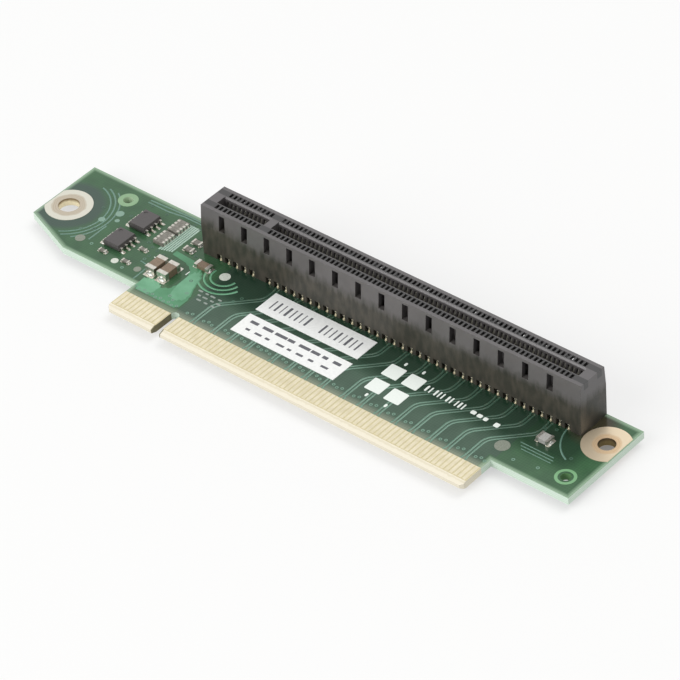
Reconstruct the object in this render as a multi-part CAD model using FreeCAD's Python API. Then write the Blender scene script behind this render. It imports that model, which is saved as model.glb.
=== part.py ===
import FreeCAD, Part
import math
import os

# PCIe x16 riser card, in millimetres.
# X runs along the card, Y from the edge fingers to the slot, Z out of the component side.
# The origin is under the middle of the card, level with the tips of the slot's locating pegs.

# Board outline
board_depth = 21.9
board_thickness = 1.57
corner_cut_x = 11.9
corner_cut_y = 4.6

# Finger tab
tab_offset = 30.5
tab_length = 84.3
tab_reach = 8.2
tab_corner = 0.6
bevel_length = 1.2
bevel_drop = 0.42
notch_from_tab_end = 12.15
notch_width = 1.9
notch_depth = 6.3

# Contacts, the same count and pitch on the fingers and in the slot
contact_pitch = 1.0
short_side_contacts = 11
long_side_contacts = 71
key_step = 3.0

# Edge fingers
first_finger = 0.65
finger_width = 0.7
finger_thickness = 0.05
finger_margin = 0.15
finger_rear = 2.8

# Screw holes and the pads round them, the right one beside the end of the slot housing
left_hole_radius = 2.1
left_hole_from_end = 4.1
left_hole_y = 10.2
right_hole_radius = 1.7
right_hole_from_end = 3.2
right_hole_y = 15.3
right_pad_clearance = 0.3
pad_radius = 4.7
pad_thickness = 0.07
pad_edge_gap = 0.25

# Tooling holes
tooling_radius = 1.0
left_tooling_from_end = 12.3
left_tooling_y = 18.0
right_tooling_from_end = 3.8
right_tooling_y = 4.2

# Slot housing
housing_offset = 4.3
housing_length = 89.0
housing_setback = 0.05
base_width = 7.5
top_width = 6.7
housing_height = 11.25
shoulder_height = 6.95
slot_width = 1.8
slot_depth = 7.85
slot_end_wall = 2.17
lead_in = 0.3
key_width = 1.7
cavity_width = 0.6
cavity_outer = 2.65
rail_outer = 1.45
rail_height = 0.8
window_width = 1.4
window_low = 7.15
window_high = 10.6
window_pitch = 5.5
window_count = 15
window_start = 5.15
window_inner = 2.2
channel_width = 1.25
channel_height = 1.4
peg_radius = 1.175
peg_reach = 1.4
peg_taper = 0.45
peg_clearance = 0.08
end_peg_inset = 1.4
peg_root = 0.5

# Slot contacts
strip_thickness = 0.2
strip_width = 0.42
tail_reach = 1.1
tail_clearance = 0.04
inner_row = 1.25
outer_row = 3.25
bend_height = 0.75
bow_inset = 0.6
bow_height = 8.6
tip_inset = 1.85
tip_height = 10.7

# Moulded chips, eight leads each
chip_length = 4.9
chip_width = 3.9
chip_height = 1.45
chip_standoff = 0.15
chip_draft = 0.14
chip_rows = ((-10.4, 14.2), (-10.7, 7.4))
pin_mark_radius = 0.4
pin_mark_depth = 0.1
lead_count = 4
lead_pitch = 1.27
lead_width = 0.42
lead_thickness = 0.2
lead_span = 6.0
lead_foot = 0.65

# Resistor arrays, four elements each
array_length = 3.6
array_width = 2.5
array_height = 0.7
array_places = ((-4.4, 12.9), (-4.4, 17.0))
array_elements = 4
array_pitch = 0.85
array_terminal_width = 0.5
array_terminal_depth = 0.5
array_terminal_proud = 0.03

# Chip capacitors, resistors and the end bead: place, length, width, height and cap length
end_cap_wall = 0.06
large_capacitors = ((0.4, 5.6), (3.3, 5.6))
large_capacitor_size = (4.2, 2.2, 1.7, 0.95)
link_resistors = ((1.6, 15.6), (1.6, 13.2))
link_resistor_size = (2.0, 1.25, 0.55, 0.4)
slot_end_capacitor = (7.3, 10.9)
slot_end_capacitor_size = (3.4, 1.7, 0.9, 0.7)
filter_resistors = ((-5.5, 8.2), (-11.5, 3.5), (-5.8, 3.6))
filter_resistor_size = (1.6, 0.85, 0.45, 0.3)
end_bead = (88.9, 9.7)
end_bead_size = (2.6, 2.1, 1.0, 0.5)

# Labels
label_thickness = 0.1
upper_label = (23.2, 7.3, 24.4, 5.8)
lower_label = (23.2, 0.2, 24.6, 5.6)

# How far a cut runs past the face that it opens
overcut = 1.0

# Reference planes
board_length = (tab_offset + housing_offset + housing_length + right_pad_clearance + pad_radius
                + right_hole_from_end)
board_bottom = peg_reach
board_top = board_bottom + board_thickness
left_end = -board_length / 2
right_end = board_length / 2
tab_left = left_end + tab_offset
tab_right = tab_left + tab_length
tab_front = -(tab_reach + board_depth) / 2
shoulder = tab_front + tab_reach
rear_edge = shoulder + board_depth
notch_x = tab_left + notch_from_tab_end

housing_left = tab_left + housing_offset
housing_right = housing_left + housing_length
slot_y = rear_edge - housing_setback - base_width / 2
housing_top = board_top + housing_height
slot_floor = housing_top - slot_depth
contact_span = contact_pitch * (short_side_contacts + long_side_contacts - 2) + key_step
first_contact = housing_left + (housing_length - contact_span) / 2
last_contact = first_contact + contact_span
key_x = first_contact + contact_pitch * (short_side_contacts - 1) + key_step / 2
peg_places = (key_x, housing_right - end_peg_inset)


def box(x0, x1, y0, y1, z0, z1):
    return Part.makeBox(x1 - x0, y1 - y0, z1 - z0, FreeCAD.Vector(x0, y0, z0))


def disc(x, y, z, radius, height):
    return Part.makeCylinder(radius, height, FreeCAD.Vector(x, y, z))


def drill(x, y, radius):
    """A round cut through the whole thickness of the board."""
    return disc(x, y, board_bottom - overcut, radius, board_thickness + 2 * overcut)


def plate(corners, z0, height):
    """A flat plate from its outline in X and Y."""
    points = [FreeCAD.Vector(x, y, z0) for x, y in corners]
    face = Part.Face(Part.makePolygon(points + points[:1]))
    return face.extrude(FreeCAD.Vector(0, 0, height))


def bar(section, x0, length):
    """A bar along X from its section in Y and Z."""
    points = [FreeCAD.Vector(x0, y, z) for y, z in section]
    face = Part.Face(Part.makePolygon(points + points[:1]))
    return face.extrude(FreeCAD.Vector(length, 0, 0))


def on_card(x, y):
    """Turns a place given from the tab's left end and the board's front edge into the card's frame."""
    return tab_left + x, shoulder + y


def contact_places(first):
    """X of every contact on one side, with the wider step at the key."""
    places = []
    x = first
    for index in range(short_side_contacts + long_side_contacts):
        places.append(x)
        x += key_step if index == short_side_contacts - 1 else contact_pitch
    return places


def mirror_over(shape, y):
    return shape.mirror(FreeCAD.Vector(0, y, 0), FreeCAD.Vector(0, 1, 0))


def save(name, solids):
    shape = solids[0] if len(solids) == 1 else Part.makeCompound(solids)
    shape.exportStep(f"parts/{name}.step")
    print(f"{name}: {len(shape.Solids)} solids, {shape.Volume:.2f} mm3, valid {shape.isValid()}")


def board_outline():
    return (
        (left_end, shoulder + corner_cut_y),
        (left_end + corner_cut_x, shoulder),
        (tab_left, shoulder),
        (tab_left, tab_front + tab_corner),
        (tab_left + tab_corner, tab_front),
        (tab_right - tab_corner, tab_front),
        (tab_right, tab_front + tab_corner),
        (tab_right, shoulder),
        (right_end, shoulder),
        (right_end, rear_edge),
        (left_end, rear_edge),
    )


def key_notch():
    """The slot cut from the tab's front edge to a round end."""
    radius = notch_width / 2
    round_y = tab_front + notch_depth - radius
    straight = box(notch_x - radius, notch_x + radius, tab_front - overcut, round_y,
                   board_bottom - overcut, board_top + overcut)
    return straight.fuse(drill(notch_x, round_y, radius))


def edge_bevels():
    """The wedges taken off both faces along the front of the tab."""
    front = tab_front - overcut
    drop = bevel_drop * (bevel_length + overcut) / bevel_length
    top = ((tab_front + bevel_length, board_top), (front, board_top - drop), (front, board_top))
    bottom = ((tab_front + bevel_length, board_bottom), (front, board_bottom), (front, board_bottom + drop))
    return [bar(section, tab_left - overcut, tab_length + 2 * overcut) for section in (top, bottom)]


def tail_row(index):
    """Every second contact stands in the outer row, beginning with the second one."""
    return outer_row if index % 2 else inner_row


def tail_holes():
    """Holes for the contact tails, filled to the tail's own section by their plating and solder."""
    half_x = strip_width / 2 + tail_clearance
    half_y = strip_thickness / 2 + tail_clearance
    holes = []
    for index, x in enumerate(contact_places(first_contact)):
        for side in (-1, 1):
            y = slot_y + side * tail_row(index)
            holes.append(box(x - half_x, x + half_x, y - half_y, y + half_y,
                             board_bottom - overcut, board_top + overcut))
    return holes


def screw_places():
    """Centre, bore radius and the end of the board that trims the pad, for each screw hole."""
    return {
        "left": (left_end + left_hole_from_end, shoulder + left_hole_y, left_hole_radius),
        "right": (right_end - right_hole_from_end, shoulder + right_hole_y, right_hole_radius),
    }


def tooling_places():
    return (
        (left_end + left_tooling_from_end, shoulder + left_tooling_y),
        (right_end - right_tooling_from_end, shoulder + right_tooling_y),
    )


def circuit_board():
    board = plate(board_outline(), board_bottom, board_thickness)
    cuts = [key_notch()] + edge_bevels() + tail_holes()
    for x, y, radius in screw_places().values():
        cuts.append(drill(x, y, radius))
    for x, y in tooling_places():
        cuts.append(drill(x, y, tooling_radius))
    for x in peg_places:
        cuts.append(drill(x, slot_y, peg_radius + peg_clearance))
    return board.cut(cuts)


def edge_fingers(z0):
    """One row of gold pads on one face of the tab."""
    front = tab_front + bevel_length + finger_margin
    rear = shoulder - finger_rear
    fingers = []
    for x in contact_places(tab_left + first_finger):
        fingers.append(box(x - finger_width / 2, x + finger_width / 2, front, rear, z0, z0 + finger_thickness))
    return fingers


def screw_pads(x, y, radius):
    """The bare pads above and below a screw hole, each trimmed beside the board's edge."""
    inside = box(left_end + pad_edge_gap, right_end - pad_edge_gap, y - 2 * pad_radius, y + 2 * pad_radius,
                 board_bottom - overcut, board_top + overcut)
    pads = []
    for z in (board_top, board_bottom - pad_thickness):
        pads.append(disc(x, y, z, pad_radius, pad_thickness).common(inside).cut(drill(x, y, radius)))
    return pads


def housing_section():
    """Straight base walls and upper walls that lean in towards the slot."""
    base = base_width / 2
    top = top_width / 2
    shoulder_z = board_top + shoulder_height
    return (
        (slot_y - base, board_top),
        (slot_y + base, board_top),
        (slot_y + base, shoulder_z),
        (slot_y + top, housing_top),
        (slot_y - top, housing_top),
        (slot_y - base, shoulder_z),
    )


def card_slot():
    """The slot in two lengths with the key between them, each with a lead-in along its mouth."""
    half = slot_width / 2
    section = (
        (slot_y - half, slot_floor),
        (slot_y + half, slot_floor),
        (slot_y + half, housing_top - lead_in),
        (slot_y + half + lead_in, housing_top),
        (slot_y - half - lead_in, housing_top),
        (slot_y - half, housing_top - lead_in),
    )
    start = housing_left + slot_end_wall
    end = housing_right - slot_end_wall
    key_left = key_x - key_width / 2
    key_right = key_x + key_width / 2
    return [bar(section, start, key_left - start), bar(section, key_right, end - key_right)]


def contact_cavities():
    """One narrow cavity beside the slot for each contact, with a rail left along the mouth of the slot."""
    rail_low = housing_top - rail_height
    profile = (
        (slot_width / 2, board_top - overcut),
        (cavity_outer, board_top - overcut),
        (cavity_outer, housing_top + overcut),
        (rail_outer, housing_top + overcut),
        (rail_outer, rail_low),
        (slot_width / 2, rail_low),
    )
    cavities = []
    for x in contact_places(first_contact):
        for side in (-1, 1):
            section = [(slot_y + side * y, z) for y, z in profile]
            cavities.append(bar(section, x - cavity_width / 2, cavity_width))
    return cavities


def tail_channels():
    """Channels across the base, where the outer tails leave the housing and their joints can be seen."""
    channels = []
    for index, x in enumerate(contact_places(first_contact)):
        if tail_row(index) == outer_row:
            channels.append(box(x - channel_width / 2, x + channel_width / 2, slot_y - base_width,
                                slot_y + base_width, board_top - overcut, board_top + channel_height))
    return channels


def side_windows():
    """Windows through the leaning upper walls, on both sides."""
    windows = []
    for index in range(window_count):
        x = housing_left + window_start + index * window_pitch
        for side in (-1, 1):
            y0, y1 = sorted((slot_y + side * window_inner, slot_y + side * base_width))
            windows.append(box(x - window_width / 2, x + window_width / 2, y0, y1,
                               board_top + window_low, board_top + window_high))
    return windows


def locating_peg(x):
    """A round peg under the housing that passes through the board and ends in a taper."""
    straight = board_thickness + peg_reach - peg_taper
    shank = disc(x, slot_y, board_top - straight, peg_radius, straight + peg_root)
    tip = Part.makeCone(peg_radius - peg_taper, peg_radius, peg_taper, FreeCAD.Vector(x, slot_y, 0))
    return shank.fuse(tip)


def slot_housing():
    body = bar(housing_section(), housing_left, housing_length)
    body = body.cut(card_slot())
    body = body.cut(contact_cavities() + tail_channels() + side_windows())
    return body.fuse([locating_peg(x) for x in peg_places])


def strip_section(path):
    """Thickens a path of Y and Z points into the section of a bent strip."""
    half = strip_thickness / 2
    front = []
    back = []
    for i, (y, z) in enumerate(path):
        before = path[max(i - 1, 0)]
        after = path[min(i + 1, len(path) - 1)]
        first = math.atan2(z - before[1], y - before[0]) if i > 0 else None
        second = math.atan2(after[1] - z, after[0] - y) if i < len(path) - 1 else None
        if first is None:
            first = second
        if second is None:
            second = first
        direction = (first + second) / 2
        reach = half / math.cos((second - first) / 2)
        front.append((y - reach * math.sin(direction), z + reach * math.cos(direction)))
        back.append((y + reach * math.sin(direction), z - reach * math.cos(direction)))
    return front + back[::-1]


def slot_contact(x, row):
    """One bent contact on the rear side: tail through the board, bow into the slot, tip behind the rail."""
    tail_end = board_bottom - tail_reach
    path = [(slot_y + row, tail_end), (slot_y + row, board_top + bend_height)]
    if row == outer_row:
        path.append((slot_y + row - (outer_row - inner_row) / 2, board_top + channel_height + strip_thickness))
    path.append((slot_y + bow_inset, board_top + bow_height))
    path.append((slot_y + tip_inset, board_top + tip_height))
    return bar(strip_section(path), x - strip_width / 2, strip_width)


def contact_rows():
    rear = []
    for index, x in enumerate(contact_places(first_contact)):
        rear.append(slot_contact(x, tail_row(index)))
    front = [mirror_over(contact, slot_y) for contact in rear]
    return front, rear


def chip_body(x, y):
    """A moulded body whose sides slope away from the parting line at the leads."""
    low = board_top + chip_standoff
    high = board_top + chip_height
    middle = (low + high) / 2

    def ring(z, inset):
        half_x = chip_width / 2 - inset
        half_y = chip_length / 2 - inset
        corners = ((-half_x, -half_y), (half_x, -half_y), (half_x, half_y), (-half_x, half_y))
        points = [FreeCAD.Vector(x + dx, y + dy, z) for dx, dy in corners]
        return Part.makePolygon(points + points[:1])

    lower = Part.makeLoft([ring(low, chip_draft), ring(middle, 0)], True)
    upper = Part.makeLoft([ring(middle, 0), ring(high, chip_draft)], True)
    mark_x = x - chip_width / 2 + 2 * pin_mark_radius + chip_draft
    mark_y = y + chip_length / 2 - 2 * pin_mark_radius - chip_draft
    mark = disc(mark_x, mark_y, high - pin_mark_depth, pin_mark_radius, overcut)
    return lower.fuse(upper).cut(mark)


def chip_lead(x, y, side):
    """One gull-wing lead, from the body's parting line down to its foot."""
    middle = board_top + (chip_standoff + chip_height) / 2
    foot_z = board_top + lead_thickness / 2
    start = chip_width / 2
    heel = lead_span / 2 - lead_foot
    half = lead_thickness / 2
    centre = ((start, middle), (heel, middle), (heel, foot_z), (lead_span / 2, foot_z))
    outline = (
        (centre[0][0], middle + half),
        (centre[1][0] + half, middle + half),
        (centre[2][0] + half, foot_z + half),
        (centre[3][0], foot_z + half),
        (centre[3][0], foot_z - half),
        (centre[2][0] - half, foot_z - half),
        (centre[1][0] - half, middle - half),
        (centre[0][0], middle - half),
    )
    points = [FreeCAD.Vector(x + side * dx, y - lead_width / 2, z) for dx, z in outline]
    face = Part.Face(Part.makePolygon(points + points[:1]))
    return face.extrude(FreeCAD.Vector(0, lead_width, 0))


def chip_leads(x, y):
    leads = []
    for index in range(lead_count):
        lead_y = y + (index - (lead_count - 1) / 2) * lead_pitch
        leads.append(chip_lead(x, lead_y, -1))
        leads.append(chip_lead(x, lead_y, 1))
    return leads


def resistor_array(x, y):
    """A flat ceramic block with terminals let into both long sides."""
    half = array_width / 2
    body = box(x - half, x + half, y - array_length / 2, y + array_length / 2, board_top,
               board_top + array_height)
    terminals = []
    for index in range(array_elements):
        at = y + (index - (array_elements - 1) / 2) * array_pitch
        for side in (-1, 1):
            x0, x1 = sorted((x + side * (half - array_terminal_depth), x + side * (half + array_terminal_proud)))
            terminals.append(box(x0, x1, at - array_terminal_width / 2, at + array_terminal_width / 2,
                                 board_top, board_top + array_height + array_terminal_proud))
    return body.cut(terminals), terminals


def chip_part(place, size, along_y=False):
    """A ceramic block and the two metal caps that wrap its ends."""
    length, width, height, cap = size
    x, y = on_card(*place)
    if along_y:
        x, y = y, -x
    body = box(x - length / 2 + end_cap_wall, x + length / 2 - end_cap_wall,
               y - width / 2 + end_cap_wall, y + width / 2 - end_cap_wall,
               board_top + end_cap_wall, board_top + height - end_cap_wall)
    caps = []
    for x0 in (x - length / 2, x + length / 2 - cap):
        caps.append(box(x0, x0 + cap, y - width / 2, y + width / 2, board_top, board_top + height).cut(body))
    if along_y:
        centre = FreeCAD.Vector(0, 0, 0)
        up = FreeCAD.Vector(0, 0, 1)
        body.rotate(centre, up, 90)
        for cap_solid in caps:
            cap_solid.rotate(centre, up, 90)
    return body, caps


def chip_group(places, size, along_y=False):
    bodies = []
    caps = []
    for place in places:
        body, ends = chip_part(place, size, along_y)
        bodies.append(body)
        caps += ends
    return bodies, caps


def label(place):
    x, y, width, depth = place
    left, front = on_card(x, y)
    return box(left, left + width, front, front + depth, board_top, board_top + label_thickness)


os.makedirs("parts", exist_ok=True)

save("circuit_board", [circuit_board()])
save("edge_fingers_top", edge_fingers(board_top))
save("edge_fingers_bottom", edge_fingers(board_bottom - finger_thickness))
for side, (hole_x, hole_y, hole_radius) in screw_places().items():
    save(f"screw_pads_{side}", screw_pads(hole_x, hole_y, hole_radius))

save("slot_housing", [slot_housing()])
front_contacts, rear_contacts = contact_rows()
save("slot_contacts_front", front_contacts)
save("slot_contacts_rear", rear_contacts)

for name, chip_place in zip(("rear", "front"), chip_rows):
    chip_x, chip_y = on_card(*chip_place)
    save(f"chip_body_{name}", [chip_body(chip_x, chip_y)])
    save(f"chip_leads_{name}", chip_leads(chip_x, chip_y))

array_bodies = []
array_terminals = []
for array_place in array_places:
    array_x, array_y = on_card(*array_place)
    array_body, terminal_blocks = resistor_array(array_x, array_y)
    array_bodies.append(array_body)
    array_terminals += terminal_blocks
save("resistor_array_bodies", array_bodies)
save("resistor_array_terminals", array_terminals)

chip_groups = {
    "large_capacitor": (large_capacitors, large_capacitor_size, True),
    "link_resistor": (link_resistors, link_resistor_size, False),
    "slot_end_capacitor": ((slot_end_capacitor,), slot_end_capacitor_size, False),
    "filter_resistor": (filter_resistors, filter_resistor_size, False),
    "end_bead": ((end_bead,), end_bead_size, False),
}
for name, (places, size, along_y) in chip_groups.items():
    bodies, caps = chip_group(places, size, along_y)
    save(f"{name}_body" if len(bodies) == 1 else f"{name}_bodies", bodies)
    save(f"{name}_caps", caps)

save("upper_label", [label(upper_label)])
save("lower_label", [label(lower_label)])
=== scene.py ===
import math
import random

import bmesh
import bpy
from mathutils import Matrix, Vector


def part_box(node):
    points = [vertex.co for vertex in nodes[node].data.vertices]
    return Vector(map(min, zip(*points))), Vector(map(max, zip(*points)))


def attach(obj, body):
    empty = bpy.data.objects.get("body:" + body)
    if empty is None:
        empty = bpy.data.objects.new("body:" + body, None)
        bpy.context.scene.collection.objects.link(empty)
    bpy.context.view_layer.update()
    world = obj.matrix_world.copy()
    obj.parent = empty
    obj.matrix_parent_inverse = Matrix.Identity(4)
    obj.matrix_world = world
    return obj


# Riser card: green board with gold fingers, a black slot and a few small parts
mm = 0.001
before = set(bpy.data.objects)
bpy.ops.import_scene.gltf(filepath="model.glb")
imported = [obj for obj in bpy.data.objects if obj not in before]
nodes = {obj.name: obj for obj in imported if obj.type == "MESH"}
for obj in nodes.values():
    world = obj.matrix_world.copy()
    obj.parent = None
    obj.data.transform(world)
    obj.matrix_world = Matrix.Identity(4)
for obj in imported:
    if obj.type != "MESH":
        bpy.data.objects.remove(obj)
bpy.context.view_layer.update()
scene = bpy.context.scene
print("stage: frame loaded")

# Places below are in millimetres from the tab's left end and the board's front edge
card = {"tabLeft": -35.5, "frontEdge": -6.85, "shelfLength": 84.3, "cornerCut": (11.9, 4.6)}
boardLow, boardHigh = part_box("circuit_board")
housingLow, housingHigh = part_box("slot_housing")
boardTop = boardHigh.z
boardBottom = boardLow.z
slotY = (housingLow.y + housingHigh.y) / 2
slotPlace = slotY / mm - card["frontEdge"]


def onCard(x, y, z=None):
    return Vector((mm * (card["tabLeft"] + x), mm * (card["frontEdge"] + y), boardTop if z is None else z))


def placeOf(point):
    return point.x / mm - card["tabLeft"], point.y / mm - card["frontEdge"]


def metres(values, start=0.0):
    return [mm * (start + value) for value in values]


def linear(hexColour):
    channels = [int(hexColour[i:i + 2], 16) / 255 for i in (1, 3, 5)]
    return [c / 12.92 if c <= 0.04045 else ((c + 0.055) / 1.055) ** 2.4 for c in channels] + [1]


def addNode(tree, kind, links=(), **settings):
    # Adds a node and gives back its outputs. Links go by name or in the node's own order, and a link that is
    # a node's outputs means the first of them
    families = (tree.bl_idname[:-len("Tree")], "ShaderNode", "Node")
    node = tree.nodes.new(next(name + kind for name in families if hasattr(bpy.types, name + kind)))
    for name, value in settings.items():
        setattr(node, name, value)
    for socket, value in links.items() if isinstance(links, dict) else enumerate(links):
        if isinstance(value, bpy.types.bpy_prop_collection):
            value = value[0]
        if isinstance(value, bpy.types.NodeSocket):
            tree.links.new(value, node.inputs[socket])
        else:
            node.inputs[socket].default_value = value
    return node.outputs


def startMaterial(name):
    material = bpy.data.materials.new(name)
    material.use_nodes = True
    tree = material.node_tree
    tree.nodes.clear()
    return material, tree, addNode(tree, "TexCoord")["Object"]


def finishMaterial(material, shader):
    addNode(material.node_tree, "OutputMaterial", [shader])
    return material


# Contact places, numbered from 1 as on every card of this kind
contacts = {"pitch": 1.0, "shortSide": 11, "count": 82, "keyStep": 3.0, "firstFinger": 0.65,
            "firstContact": 7.3, "innerRow": 1.25, "outerRow": 3.25}


def contactX(number, first):
    x = first + contacts["pitch"] * (number - 1)
    if number > contacts["shortSide"]:
        x += contacts["keyStep"] - contacts["pitch"]
    return x


# Traces: one differential pair for each lane, from two fingers to two contacts of the front rows
traces = {"width": 0.4, "height": 0.05, "pairGap": 0.66, "bend": 3.2, "slowBend": 0.8, "start": -2.7,
          "neck": (0.5, 1.0), "turn": 3.9, "stagger": 0.2, "hook": (1.2, 0.9), "traceShadeReach": (4.6, 7.6),
          "lanes": (14, 19, 23, 27, 33, 37, 41, 45, 50, 54, 58, 62, 66, 70, 74, 78)}

# Screw and tooling holes: centre and radius
holes = {"screwLeft": (-26.4, 10.2, 2.1), "screwRight": (98.3, 15.3, 1.7),
         "toolingLeft": (-18.2, 18.0, 1.0), "toolingRight": (97.7, 4.2, 1.0)}

# FR-4 laminate under green liquid photo-imaged mask: wet-looking gloss, a faint weave, pale routed edges.
# Reaches, spans and sizes are in millimetres
maskLook = {
    "plane": "#435c4b", "bare": "#3d6342", "dark": "#273f31", "planeSpan": (10.5, 85.7), "margin": 1.1,
    "clear": {"screwLeft": 5.1, "screwRight": 4.9, "toolingLeft": 1.3, "toolingRight": 1.3},
    "laminate": "#cfc59e", "edge": "#d0e1d3", "edgeLine": "#b2c7b2", "tabEdge": "#e2dbc8",
    # The notch edge and bore tones are painted shade on the notch's jamb and inside the tooling bores
    "tabEdgeLine": "#d0c7ad", "notchShade": "#746f52", "notch": (11.0, 13.3), "end": -2.7, "edgeSlope": 0.97,
    "boreShades": {"toolingLeft": "#b4cbab", "toolingRight": "#5f8a58"}, "plyPitch": 0.38,
    "ring": "#3b4c46", "ringReach": (6.4, 7.8), "ringShare": 0.85,
    # Painted shade on the board in front of and beside the slot
    "slotShade": "#1b3324", "slotShadeReach": (4.4, 8.0), "slotShadeSpan": (11.5, 96.5), "slotShadeFade": 1.5, "slotShadeShare": 0.8,
    # Painted brownish shadow beside the slot's right end
    "slotEndShadow": "#3f3322", "slotEndShadowPlace": (94.0, 17.5), "slotEndShadowReach": (2.8, 5.5), "slotEndShadowShare": 0.75,
    "rim": "#a4c0a3", "rimReach": (0.25, 0.95), "rimShare": 0.6,
    "root": "#a9ae98", "rootReach": (-2.7, -0.9), "rootShare": 0.5,
    "weavePitch": 0.55, "weaveShade": (0.9, 1.1), "bareWeaveShade": (0.94, 1.04), "mottleSize": 4.0,
    "roughness": 0.2, "edgeRoughness": 0.55, "ior": 1.45, "peelSize": 0.9, "peelHeight": 0.004,
}


def distanceTo(tree, place, centre):
    point = onCard(*centre[:2], 0)
    flat = addNode(tree, "VectorMath", [place, (1, 1, 0)], operation="MULTIPLY")
    return addNode(tree, "VectorMath", [flat, point], operation="DISTANCE")["Value"]


def insideSpan(tree, x, span):
    # How far a place lies inside a span of the card's length, less than nothing outside it
    left, right = metres(span, card["tabLeft"])
    offset = addNode(tree, "Math", [x, (left + right) / 2], operation="SUBTRACT")
    away = addNode(tree, "Math", [offset], operation="ABSOLUTE")
    return addNode(tree, "Math", [(right - left) / 2, away], operation="SUBTRACT")


def twoTone(tree, place, grain, detail, span, first, second, most=1.0):
    # Two close shades in a noise of the given grain, and the noise itself
    noise = addNode(tree, "TexNoise", {"Vector": place, "Scale": 1 / (grain * mm), "Detail": detail})
    share = addNode(tree, "MapRange", [noise, *span, 0.0, most])
    return addNode(tree, "MixRGB", [share, linear(first), linear(second)]), noise


def peelBump(tree, place):
    # The slight orange peel of sprayed mask
    noise = addNode(tree, "TexNoise", {
        "Vector": place, "Scale": 1 / (maskLook["peelSize"] * mm), "Detail": 2})
    return addNode(tree, "Bump", {"Height": noise, "Distance": maskLook["peelHeight"] * mm, "Strength": 1.0})


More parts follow.
